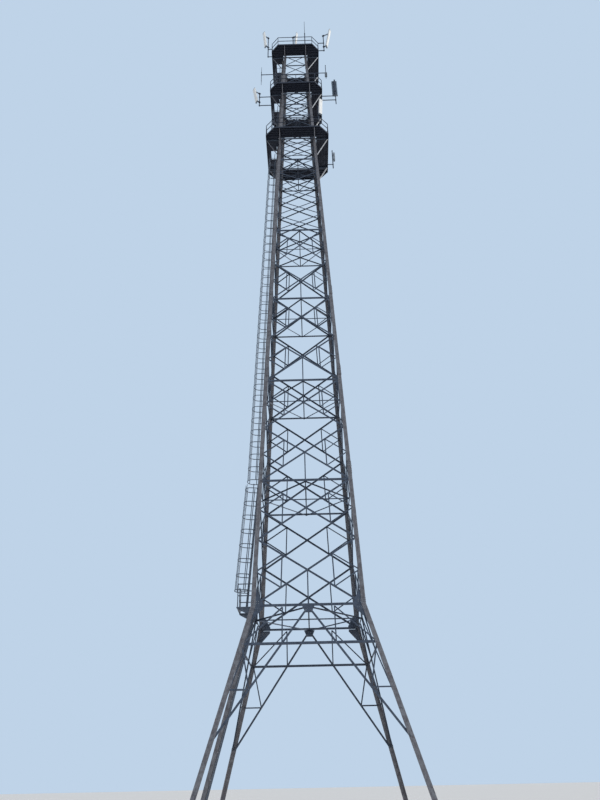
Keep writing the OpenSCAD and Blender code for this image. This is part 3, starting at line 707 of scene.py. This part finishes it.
def feet():
    """Stiffeners between each leg and its base plate, and the anchor bolts with two nuts each."""
    ribs, bolts = bmesh.new(), bmesh.new()
    foot = half_at(FOOT_T) - LEG_W / 2
    mirrored = spin(-90) @ Matrix.Scale(-1, 4, (1, 0, 0))
    for quarter in range(4):
        place = spin(90 * quarter) @ at(foot, -foot, FOOT_T)
        for spot in (place, place @ mirrored):
            for along in RIB_SPOTS:
                edge = spot @ at(LEG_W / 2 + 1 * MM, along) @ spin(90, "X") @ at(0, 0, -RIB_T / 2)
                plate(ribs, edge, RIB_OUTLINE, RIB_T)
        for sx in (-ANCHOR_OFF, ANCHOR_OFF):
            for sy in (-ANCHOR_OFF, ANCHOR_OFF):
                spot = place @ at(sx, sy)
                nut = spot @ at(0, 0, ANCHOR_WASHER_T)
                lock_nut = nut @ spin(11) @ at(0, 0, ANCHOR_NUT_H)
                bar(bolts, spot @ at(0, 0, -ANCHOR_SUNK), ANCHOR_R, ANCHOR_LONG, 14)
                bar(bolts, spot, ANCHOR_WASHER_R, ANCHOR_WASHER_T, 20)
                bar(bolts, nut, ANCHOR_NUT_R, ANCHOR_NUT_H, 6)
                bar(bolts, lock_nut, ANCHOR_NUT_R, LOCK_NUT_H, 6)
    piece("foot_stiffeners", ribs, LEG_STEEL)
    piece("anchor_bolts", bolts, ZINC)


feet()


# Decks and railings


JOIST_H = 32 * MM
JOIST_W = 22 * MM
JOIST_T = 4 * MM
JOIST_ROWS = 4
JOIST_GAP = 30 * MM
# The small plates under a bracket's bolts
PAD_W = 30 * MM
PAD_T = 3 * MM


def octagon(half, cut):
    flat = half - cut
    return [(half, flat), (flat, half), (-flat, half), (-half, flat),
            (-half, -flat), (-flat, -half), (flat, -half), (half, -flat)]


def railing(level):
    """Round-pipe rails on posts with welded feet."""
    node = f"{level}_railing"
    low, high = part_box(node)
    shape = bmesh.new()
    outer = high.x
    # How much less a corner is cut back on a line that runs inside another
    inward = 2 - math.sqrt(2)
    cut = (outer + RAIL_INSET) * DECK_CUT - RAIL_INSET * inward
    line = octagon(outer - RAIL_R, cut - RAIL_R * inward)
    top = high.z - RAIL_R
    for z in (top, low.z + (high.z - low.z) / 2 - RAIL_R):
        pipe(shape, [(x, y, z) for x, y in line], RAIL_R, 14, closed=True)
    mid = outer - RAIL_R
    for x, y in line + [(0, mid), (0, -mid), (mid, 0), (-mid, 0)]:
        foot = at(x, y, low.z)
        bar(shape, foot, POST_R, top - low.z, 14)
        bar(shape, foot, POST_R + 7.2 * MM, 5 * MM, 14)
        bar(shape, foot, POST_R + 3 * MM, 18 * MM, 14, POST_R)
    piece(f"{level}_rail_pipes", shape, RAIL_STEEL, stands_for=[node])


def joists(level):
    """Angles under a deck's plate: rows along the front, the back and the right, and none on the
    left, where the ladder and the cables come up."""
    low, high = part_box(f"{level}_deck")
    z, half = low.z, high.x
    flat = half * (1 - DECK_CUT)
    inner = half_at(z) + JOIST_GAP
    side = half_at(z) - 10 * MM
    web, foot = -JOIST_H / 2, -JOIST_T / 2
    shape = bmesh.new()
    for sign in (-1, 1):
        for row in range(1, JOIST_ROWS + 1):
            out = inner + (half - JOIST_GAP - inner) * row / (JOIST_ROWS + 0.6)
            reach = (half if out < flat else half - (out - flat)) - 20 * MM
            block(shape, at(0, sign * out, z + web), (2 * reach, JOIST_T, JOIST_H))
            block(shape, at(0, sign * out, z + foot), (2 * reach, JOIST_W, JOIST_T))
            if sign > 0:
                block(shape, at(out, 0, z + web), (JOIST_T, 2 * side, JOIST_H))
                block(shape, at(out, 0, z + foot), (JOIST_W, 2 * side, JOIST_T))
    piece(f"{level}_deck_joists", shape, DECK_STEEL_PAINTED_SHADE)


def brackets(level):
    """Channel beams from the legs out to a deck's rim, each propped by a knee of angle steel. The
    knees on the right are painted paler than the rest, as painted sunlight on the lit side, as they
    look in the photograph."""
    node = f"{level}_deck_brackets"
    low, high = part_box(node)
    beams, knees, sunlit_knees = bmesh.new(), bmesh.new(), bmesh.new()
    z, reach, wall = high.z, high.x, BEAM_WALL
    root, half = half_at(z), KNEE_W / 2
    channel = [(0, -wall / 2), (0, FLANGE), (-wall, FLANGE), (-wall, wall / 2),
               (wall - BEAM_H, wall / 2), (wall - BEAM_H, FLANGE), (-BEAM_H, FLANGE),
               (-BEAM_H, -wall / 2)]
    angle = [(-half, 0), (half, 0), (half, wall), (wall - half, wall), (wall - half, FLANGE),
             (-half, FLANGE)]
    for turn in range(4):
        for sign in (-1, 1):
            side = turned(turn) @ at(sign * (root - LEG_W / 2), -root, z)
            out = facing(side.translation, side.to_3x3() @ Vector((0, -1, 0)))
            plate(beams, out, [(x, -sign * y) for x, y in channel], reach - root)
            foot = side @ Vector((0, root - half_at(low.z), low.z + half - z))
            head = side @ Vector((0, root - reach + 10 * MM + half, -BEAM_H))
            made = sunlit_knees if turn == RIGHT else knees
            plate(made, facing(foot, head - foot), [(x, -sign * y) for x, y in angle],
                  (head - foot).length)
    piece(f"{level}_bracket_beams", beams, BRACE_STEEL, stands_for=[node])
    piece(f"{level}_bracket_knees", knees, LEG_STEEL)
    piece(f"{level}_bracket_knees_right", sunlit_knees, KNEE_STEEL_PAINTED_SUNLIGHT)


def bracket_bolts(level):
    """Bolts on small plates: two rows at a beam's root on the leg, and one at the knee's foot."""
    low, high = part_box(f"{level}_deck_brackets")
    shape = bmesh.new()
    for turn in range(4):
        for sign in (-1, 1):
            x = sign * (half_at(high.z) - LEG_W / 2)
            for z in (high.z - 18 * MM, high.z - 44 * MM, low.z + 12 * MM):
                for step in (-20 * MM, 20 * MM):
                    spot = turned(turn) @ at(x + step, -half_at(z), z) @ spin(90, "X")
                    block(shape, spot @ at(0, 0, PAD_T / 2), (PAD_W, PAD_W, PAD_T))
                    stamp(shape, LEG_BOLT, spot @ at(0, 0, PAD_T))
    piece(f"{level}_bracket_bolts", shape, ZINC)


for level in ("low", "mid", "top"):
    railing(level)
    joists(level)
    brackets(level)
    bracket_bolts(level)


# Ladder cage


def leaning():
    """The plane of the leaning flight above the waist."""
    return body_side(LEFT) @ at(0, LEAN_V, LEAN_GAP) @ Matrix.Rotation(-LEAN, 4, "X")


def upright():
    """The plane of the long flight, along the body's side."""
    return body_side(LEFT) @ at(0, 0, LADDER_GAP)


def cage_span(hoops, straps, side, low, high):
    """Bent flat-bar hoops round one climb, with straps down their insides."""
    up = side.to_3x3() @ Vector((0, 1, 0))
    bends = [math.pi * k / HOOP_BENDS for k in range(1, HOOP_BENDS)]
    line = [(-LADDER_W / 2, 0), (-CAGE_R, 0), (-CAGE_R, CAGE_DEEP)]
    line += [(-CAGE_R * math.cos(a), CAGE_DEEP + CAGE_R * math.sin(a)) for a in bends]
    line += [(CAGE_R, CAGE_DEEP), (CAGE_R, 0), (LADDER_W / 2, 0)]
    for i in range(int((high - low - HOOP_W) / HOOP_STEP + 1e-6) + 1):
        v = low + i * HOOP_STEP + HOOP_W / 2
        path = [side @ Vector((u - LADDER_U, v, STILE_W + n + HOOP_T / 2)) for u, n in line]
        strip(hoops, path, up, HOOP_W, HOOP_T)
        for sign in (-1, 1):
            spot = side @ at(sign * HOOP_BOLT_U - LADDER_U, v, STILE_W + HOOP_T)
            stamp(hoops, LAP_BOLT, spot)
    centre = side @ at(-LADDER_U, (low + high) / 2, STILE_W + CAGE_DEEP)
    for angle in (-45, -15, 15, 45):
        spot = centre @ spin(angle, "Y") @ at(0, 0, CAGE_R - HOOP_T)
        block(straps, spot, (HOOP_W, high - low, HOOP_T), 0.6 * MM)
    for sign in (-1, 1):
        spot = centre @ at(sign * (CAGE_R - HOOP_T), 0, HOOP_W / 2 - CAGE_DEEP / 2)
        block(straps, spot, (HOOP_T, high - low, HOOP_W), 0.6 * MM)


def cage():
    hoops, straps = bmesh.new(), bmesh.new()
    split_v = slope_at(WAIST_Z + BAY)
    lean_length = (split_v - LEAN_V) / math.cos(LEAN) + FLIGHT_OVERLAP
    cage_span(hoops, straps, leaning(), CAGE_FOOT, lean_length - HOOP_W)
    feet_v = (split_v + FLIGHT_OVERLAP + 0.09,
              slope_at(LOW_Z) + CAGE_OVER_DECK,
              slope_at(MID_Z) + CAGE_OVER_DECK)
    for low, deck in zip(feet_v, (LOW_Z, MID_Z, TOP_Z)):
        cage_span(hoops, straps, upright(), low, slope_at(deck) - CAGE_UNDER_DECK)
    piece("cage_hoops", hoops, LADDER_STEEL,
          stands_for=["cage_front_side", "cage_back_side", "cage_outer_side"])
    piece("cage_straps", straps, LADDER_STEEL)


cage()


# Cable run


def hangers():
    """Clamp bars across the feeder cables, inside the run's side rails, each on two bolts."""
    shape = bmesh.new()
    width, height, thick = TRAY_W - 2 * RUNG_T, 0.026, 5 * MM
    base_end = WAIST_Z / math.cos(BASE_TILT) - 0.1
    for side, low, high in ((base_side(LEFT), 0.5, base_end),
                            (body_side(LEFT), 0.12, slope_at(TOP_Z) - 0.12)):
        count = int((high - low) / HANGER_STEP)
        for i in range(count + 1):
            up = low + (high - low) * i / count
            spot = side @ at(TRAY_U, up, TRAY_GAP + RUNG_T + 2 * CABLE_R)
            block(shape, spot @ at(0, 0, thick / 2), (width, height, thick), 1 * MM)
            for sign in (-1, 1):
                bar(shape, spot @ at(sign * (TRAY_W / 2 - 0.016), 0, thick), 0.006, 0.007, 6)
    piece("cable_hangers", shape, LADDER_STEEL)


hangers()


# Antennas


CONNECTORS = 4
CAP_H = 24 * MM
# A panel's shell and the channel behind it, as shares of its depth and width
SHELL_DEEP = 0.78
CHANNEL_AT, CHANNEL_DEEP, CHANNEL_WIDE = 0.12, 0.24, 0.66
# A clamp's jaw, how far its middle is from the pole's side, and its two lips towards the pole
JAW_T, JAW_W, JAW_H = 16 * MM, 58 * MM, 44 * MM
JAW_OFF = 9 * MM
LIP_W, LIP_OUT, LIP_IN = 12 * MM, 19 * MM, 7 * MM
# The rods that draw two jaws together, where they run, and their nuts
JAW_ROD_R = 3.5 * MM
JAW_ROD_OUT, JAW_ROD_UP = 23.5 * MM, 12 * MM
JAW_ROD_BACK, JAW_ROD_FRONT = 28 * MM, 34 * MM
JAW_NUT_R, JAW_NUT_H = 7 * MM, 6 * MM
# The two links of an arm that folds between a clamp and the panel's back
LINK_OUT, LINK_T, LINK_H = 11 * MM, 4 * MM, 32 * MM

# Each panel's pole and lower clamp, the way it faces in degrees, its size and its down tilt
Panel = namedtuple("Panel", "x y z turn length width depth tilt")
PANELS = {
    "panel_top_right": Panel(1.21, -0.69, TOP_Z + 0.26, 340, 1.17, 0.14, 0.07, 10),
    "panel_top_left": Panel(-1.15, -0.5, TOP_Z + 0.7, 215, 1.0, 0.14, 0.07, 6),
    "panel_top_front": Panel(-0.075, -0.76, TOP_Z + 0.3, 330, 0.85, 0.11, 0.05, 6),
    "panel_mid_left": Panel(-1.5, -0.1, MID_Z + 0.2, 212, 0.8, 0.15, 0.07, 10),
    "panel_mid_right": Panel(1.6, -0.06, MID_Z + 0.85, 90, 1.06, 0.225, 0.08, 2),
    "panel_low_right": Panel(0.8, -1.23, LOW_Z + 0.48, 300, 0.8, 0.14, 0.07, 6),
}


def panel_shell(name, panel, hung, middle):
    """The domed shell over a panel's front, and its end caps with the connectors below."""
    length, width = panel.length, panel.width
    deep = panel.depth * SHELL_DEEP
    mid_x = PANEL_GAP + panel.depth - deep / 2
    shell = bmesh.new()
    block(shell, hung @ at(mid_x, 0, middle), (deep, width, length - 30 * MM),
          min(22 * MM, deep * 0.45), 5)
    for face in shell.faces:
        face.smooth = face.calc_area() < width * length / 8
    # The mid-right panel's shell gets the radome with painted shade.
    finish = SHADED_RADOME if name == "panel_mid_right" else RADOME
    piece(f"{name}_shell", shell, finish, f"{name}_body", [name])
    caps = bmesh.new()
    for end in (-1, 1):
        spot = hung @ at(mid_x - 1 * MM, 0, middle + end * (length / 2 - CAP_H / 2))
        block(caps, spot, (deep * 0.97, width * 0.985, CAP_H), 6 * MM, 3)
    for k in range(CONNECTORS):
        across = (k - (CONNECTORS - 1) / 2) * width * 0.22
        spot = hung @ at(mid_x, across, -PANEL_DROP)
        bar(caps, spot @ at(0, 0, -12 * MM), 8.5 * MM, 14 * MM, 12)
        bar(caps, spot @ at(0, 0, -30 * MM), 6.5 * MM, 20 * MM, 12)
    piece(f"{name}_caps", caps, UNIT_GREY, f"{name}_body")


def jaws(metal, spot):
    """Two lipped jaws that hold a pole, drawn together by four rods."""
    for face in (1, -1):
        x = face * (POLE_R + JAW_OFF)
        block(metal, spot @ at(x, 0), (JAW_T, JAW_W, JAW_H), 3 * MM, 2)
        for sign in (-1, 1):
            lip = spot @ at(x - face * LIP_IN, sign * LIP_OUT)
            block(metal, lip, (JAW_T, LIP_W, JAW_H), 2 * MM)
    length = 2 * POLE_R + JAW_ROD_BACK + JAW_ROD_FRONT
    for sign in (-1, 1):
        for up in (-JAW_ROD_UP, JAW_ROD_UP):
            start = at(-POLE_R - JAW_ROD_BACK, sign * JAW_ROD_OUT, up) @ spin(90, "Y")
            bar(metal, spot @ start, JAW_ROD_R, length, 8)
            for nut in (JAW_NUT_H, length - 16 * MM):
                bar(metal, spot @ start @ at(0, 0, nut), JAW_NUT_R, JAW_NUT_H, 6)


def panel_clamps(name, panel, pole, hung, middle):
    """The channel up a panel's back, and the two clamps that hold it off the pole at its tilt."""
    metal = bmesh.new()
    block(metal, hung @ at(PANEL_GAP + panel.depth * CHANNEL_AT, 0, middle),
          (panel.depth * CHANNEL_DEEP, panel.width * CHANNEL_WIDE, panel.length - 60 * MM),
          4 * MM, 2)
    for height in (0, panel.length * ARM_SHARE):
        out = HINGE_OUT + height * math.sin(math.radians(panel.tilt)) + PANEL_GAP
        spot = pole @ at(0, 0, height)
        jaws(metal, spot)
        for sign in (-1, 1):
            link = spot @ at((POLE_R + out) / 2 + 12 * MM, sign * LINK_OUT)
            block(metal, link, (out - POLE_R + 6 * MM, LINK_T, LINK_H), 1 * MM)
        pin = spot @ at(out - 12 * MM, 20 * MM) @ spin(90, "X")
        bar(metal, pin, 5 * MM, 40 * MM, 10)
        foot = hung @ at(PANEL_GAP - 4 * MM, 0, height)
        block(metal, foot, (10 * MM, 50 * MM, 60 * MM), 2 * MM)
    piece(f"{name}_clamps", metal, POLE_STEEL, f"{name}_body")


for name, panel in PANELS.items():
    pole = at(panel.x, panel.y, panel.z) @ spin(panel.turn)
    hung = pole @ at(HINGE_OUT, 0) @ spin(panel.tilt, "Y")
    middle = panel.length / 2 - PANEL_DROP
    panel_shell(name, panel, hung, middle)
    panel_clamps(name, panel, pole, hung, middle)


# Poles, arms and radio units


U_BOLT_R = 3 * MM
U_BOLT_LEG = 22 * MM


def u_bolt(shape, place, radius):
    """A bent bolt round a pole, its legs along the place's x axis."""
    bends = [math.pi * k / 10 for k in range(11)]
    line = [(-U_BOLT_LEG, radius), *[(math.sin(a) * radius, math.cos(a) * radius) for a in bends],
            (-U_BOLT_LEG, -radius)]
    pipe(shape, [place @ Vector((x, y, 0)) for x, y in line], U_BOLT_R, 8)
    for sign in (-1, 1):
        nut = place @ at(-12 * MM, sign * radius) @ spin(-90, "Y")
        bar(shape, nut, 5.5 * MM, 5 * MM, 6)


def u_bolts(shape, place, pole_r, apart):
    """A pair of bent bolts round a pole, above and below a place."""
    for up in (-apart, apart):
        u_bolt(shape, place @ at(0, 0, up), pole_r + U_BOLT_R + 0.5 * MM)


def arm_tube(shape, start, end, y, z):
    """A square tube across, from one x to another."""
    block(shape, at((start + end) / 2, y, z), (end - start, ARM_W, ARM_W), 3 * MM, 2)


def arm_root(shape, x, y, z):
    block(shape, at(x, y, z), (8 * MM, 60 * MM, 60 * MM), 1 * MM)


def capped_pole(shape, x, y, low, high, radius, sides):
    bar(shape, at(x, y, low), radius, high - low, sides)
    bar(shape, at(x, y, high - 6 * MM), radius + 1.5 * MM, 6 * MM, sides)


def pole_fixings():
    """Saddle plates and bent bolts where the arms meet the antenna poles, and the poles' caps."""
    shape = bmesh.new()
    rim, rail, mid_rail = -BEAM_H / 2, DECK_T + RAIL_H - RAIL_R, DECK_T + RAIL_H / 2 - RAIL_R
    for name, deck, lifts, turn in (("panel_top_right", TOP_Z, (rim, rail), 0),
                                    ("panel_top_left", TOP_Z, (rim, rail), 180),
                                    ("panel_mid_left", MID_Z, (rim, rail), 180),
                                    ("panel_mid_right", MID_Z, (mid_rail, rail), 0),
                                    ("panel_low_right", LOW_Z, (mid_rail, rail), -90)):
        for lift in lifts:
            spot = at(PANELS[name].x, PANELS[name].y, deck + lift) @ spin(turn)
            block(shape, spot @ at(-POLE_R - 2 * MM, 0), (5 * MM, 62 * MM, 56 * MM), 1 * MM)
            u_bolts(shape, spot, POLE_R, 18 * MM)
    for panel in PANELS.values():
        top = panel.z + panel.length * ARM_SHARE + 0.05
        bar(shape, at(panel.x, panel.y, top - 6 * MM), POLE_R + 1.2 * MM, 8 * MM, 20)
    piece("pole_fixings", shape, ZINC)


pole_fixings()


def whip():
    """The whip antenna: an arm of square tube, a mounting tube, and a dark tapered rod."""
    low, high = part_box("whip_antenna")
    x, y, z = WHIP_X, LEG_W / 2 - half_at(ARM_Z), ARM_Z
    leg = -half_at(z)
    tube_foot, tube_top = low.z + 0.25, z + 0.16
    rod_foot = z + 0.19
    metal, rod = bmesh.new(), bmesh.new()
    arm_tube(metal, x, leg, y, z)
    arm_root(metal, leg - 4 * MM, y, z)
    bar(metal, at(x, y, tube_foot), WHIP_R, tube_top - tube_foot, 18)
    u_bolts(metal, at(x, y, z) @ spin(180), WHIP_R, 20 * MM)
    bar(metal, at(x, y, tube_top - 0.01), WHIP_R * 1.2, 0.04, 18)
    bar(rod, at(x, y, rod_foot), 9 * MM, high.z - rod_foot, 16, 5 * MM)
    bar(rod, at(x, y, low.z), 6 * MM, 0.26, 16, 9 * MM)
    piece("whip_mount", metal, POLE_STEEL, stands_for=["whip_antenna"])
    piece("whip_rod", rod, RAIL_STEEL)


whip()


def unit(shape, metal, place, size, fins):
    """A finned radio housing with a bracket behind it and connectors below."""
    wide, deep, tall = size
    block(shape, place, (wide, deep * 0.62, tall), 6 * MM, 3)
    for i in range(fins):
        across = (i + 0.5) / fins * wide * 0.92 - wide * 0.46
        block(shape, place @ at(across, -deep * 0.38, 0), (3 * MM, deep * 0.3, tall * 0.94), 1 * MM)
    for i in range(CONNECTORS):
        across = (i - (CONNECTORS - 1) / 2) * wide * 0.2
        bar(metal, place @ at(across, 0, -tall / 2 - 0.016), 7 * MM, 18 * MM, 12)
    for up in (-tall * 0.3, tall * 0.3):
        block(metal, place @ at(0, deep * 0.36, up), (wide * 0.7, 8 * MM, 30 * MM), 1 * MM)


def radio_unit_top():
    """The upper unit, on a pole at the end of an arm from the front right leg."""
    low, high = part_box("radio_unit_top")
    shape, metal = bmesh.new(), bmesh.new()
    x, y, z = UNIT_X, LEG_W / 2 - half_at(ARM_Z), ARM_Z
    leg = half_at(z)
    arm_tube(metal, leg, x, y, z)
    arm_root(metal, leg + 4 * MM, y, z)
    capped_pole(metal, x, y, low.z, high.z, UNIT_POLE_R, 18)
    u_bolts(metal, at(x, y, z), UNIT_POLE_R, 20 * MM)
    unit(shape, metal, at(x, y - 0.04, z - 0.2), UNIT_SIZE, fins=9)
    piece("unit_top_housing", shape, UNIT_GREY)
    piece("unit_top_mount", metal, POLE_STEEL, stands_for=["radio_unit_top"])


def radio_unit_low():
    """The lower unit, on a pole at the end of an arm from the low deck's rim."""
    low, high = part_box("radio_unit_low")
    shape, metal = bmesh.new(), bmesh.new()
    x, y, z = LOW_UNIT
    arm_z = z - BEAM_H / 2
    arm_tube(metal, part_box("low_deck")[1].x, x, y, arm_z)
    capped_pole(metal, x, y, low.z, high.z, POLE_R, 20)
    u_bolts(metal, at(x, y, arm_z), POLE_R, 18 * MM)
    unit(shape, metal, at(x + 0.054, y, z + 0.41) @ spin(90), LOW_UNIT_SIZE, fins=11)
    piece("unit_low_housing", shape, UNIT_GREY)
    piece("unit_low_mount", metal, POLE_STEEL, stands_for=["radio_unit_low"])


radio_unit_top()
radio_unit_low()


def air_terminal():
    """The lightning rod: a bolted flange, a steel mast, a reducer and a tapered rod."""
    low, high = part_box("lightning_rod")
    x, y = (low.x + high.x) / 2, (low.y + high.y) / 2
    flange = 8 * MM
    shape = bmesh.new()
    block(shape, at(x, y, low.z + flange / 2), (high.x - low.x, high.y - low.y, flange), 1 * MM)
    for sx in (-24 * MM, 24 * MM):
        for sy in (-24 * MM, 24 * MM):
            bar(shape, at(x + sx, y + sy, low.z + flange), 6 * MM, 6 * MM, 6)
    joint = low.z + ROD_JOINT
    collar_r = ROD_R + 2.5 * MM
    bar(shape, at(x, y, low.z + flange), 31 * MM, 35 * MM, 20, ROD_R)
    bar(shape, at(x, y, low.z + 10 * MM), ROD_R, ROD_JOINT - 20 * MM, 20)
    bar(shape, at(x, y, joint - 40 * MM), collar_r, 50 * MM, 20)
    bar(shape, at(x, y, joint + 10 * MM), collar_r, 25 * MM, 20, ROD_TIP_R)
    point = high.z - ROD_POINT
    bar(shape, at(x, y, joint + 10 * MM), ROD_TIP_R, point - joint - 10 * MM, 16)
    bar(shape, at(x, y, point), ROD_TIP_R, ROD_POINT, 16, 1.2 * MM)
    piece("air_terminal", shape, RAIL_STEEL, stands_for=["lightning_rod"])


air_terminal()


# Floor and light


def make_floor():
    """A wide pale floor, a touch uneven in tone."""
    shape = bmesh.new()
    bmesh.ops.create_grid(shape, x_segments=1, y_segments=1, size=400)
    mesh = bpy.data.meshes.new("floor")
    shape.to_mesh(mesh)
    shape.free()
    floor = bpy.data.objects.new("floor", mesh)
    scene.collection.objects.link(floor)
    finish, tree, shader, place = new_finish("pale_floor")
    clouds = patches(tree, place, 1500 * MM, 0.0, 1.0, detail=4)
    colour = tinted(tree, srgb("#e4e5e6"), srgb("#ebebea"), clouds)
    tree.links.new(colour, shader.inputs["Base Color"])
    shader.inputs["Roughness"].default_value = 0.9
    mesh.materials.append(finish)


def make_surround():
    """Soft light from all round; the camera and reflections see a pale blue in its place."""
    world = bpy.data.worlds.new("surround")
    world.use_nodes = True
    scene.world = world
    tree = world.node_tree
    tree.nodes.clear()
    rays = add(tree, "ShaderNodeLightPath").outputs
    seen = add(tree, "ShaderNodeMath", {0: rays["Is Camera Ray"], 1: rays["Is Glossy Ray"]},
               operation="MAXIMUM")
    seen = add(tree, "ShaderNodeMath", {0: seen.outputs[0], 1: rays["Is Transmission Ray"]},
               operation="MAXIMUM")
    soft = add(tree, "ShaderNodeBackground", {"Color": srgb("#eef2f8"), "Strength": 0.62})
    pale = add(tree, "ShaderNodeBackground", {"Color": srgb("#bfd3e8"), "Strength": 1.0})
    both = add(tree, "ShaderNodeMixShader",
               {0: seen.outputs[0], 1: soft.outputs[0], 2: pale.outputs[0]})
    add(tree, "ShaderNodeOutputWorld", {"Surface": both.outputs[0]})


def make_key():
    """One soft, slightly warm key light from the right."""
    lamp = bpy.data.lights.new("key", "SUN")
    lamp.energy = 1.9
    lamp.angle = math.radians(12)
    lamp.color = (1.0, 0.95, 0.88)
    key = bpy.data.objects.new("key", lamp)
    key.rotation_euler = Vector((1.0, -0.35, 0.42)).to_track_quat("Z", "Y").to_euler()
    scene.collection.objects.link(key)


make_floor()
make_surround()
make_key()
scene.view_settings.view_transform = "Standard"
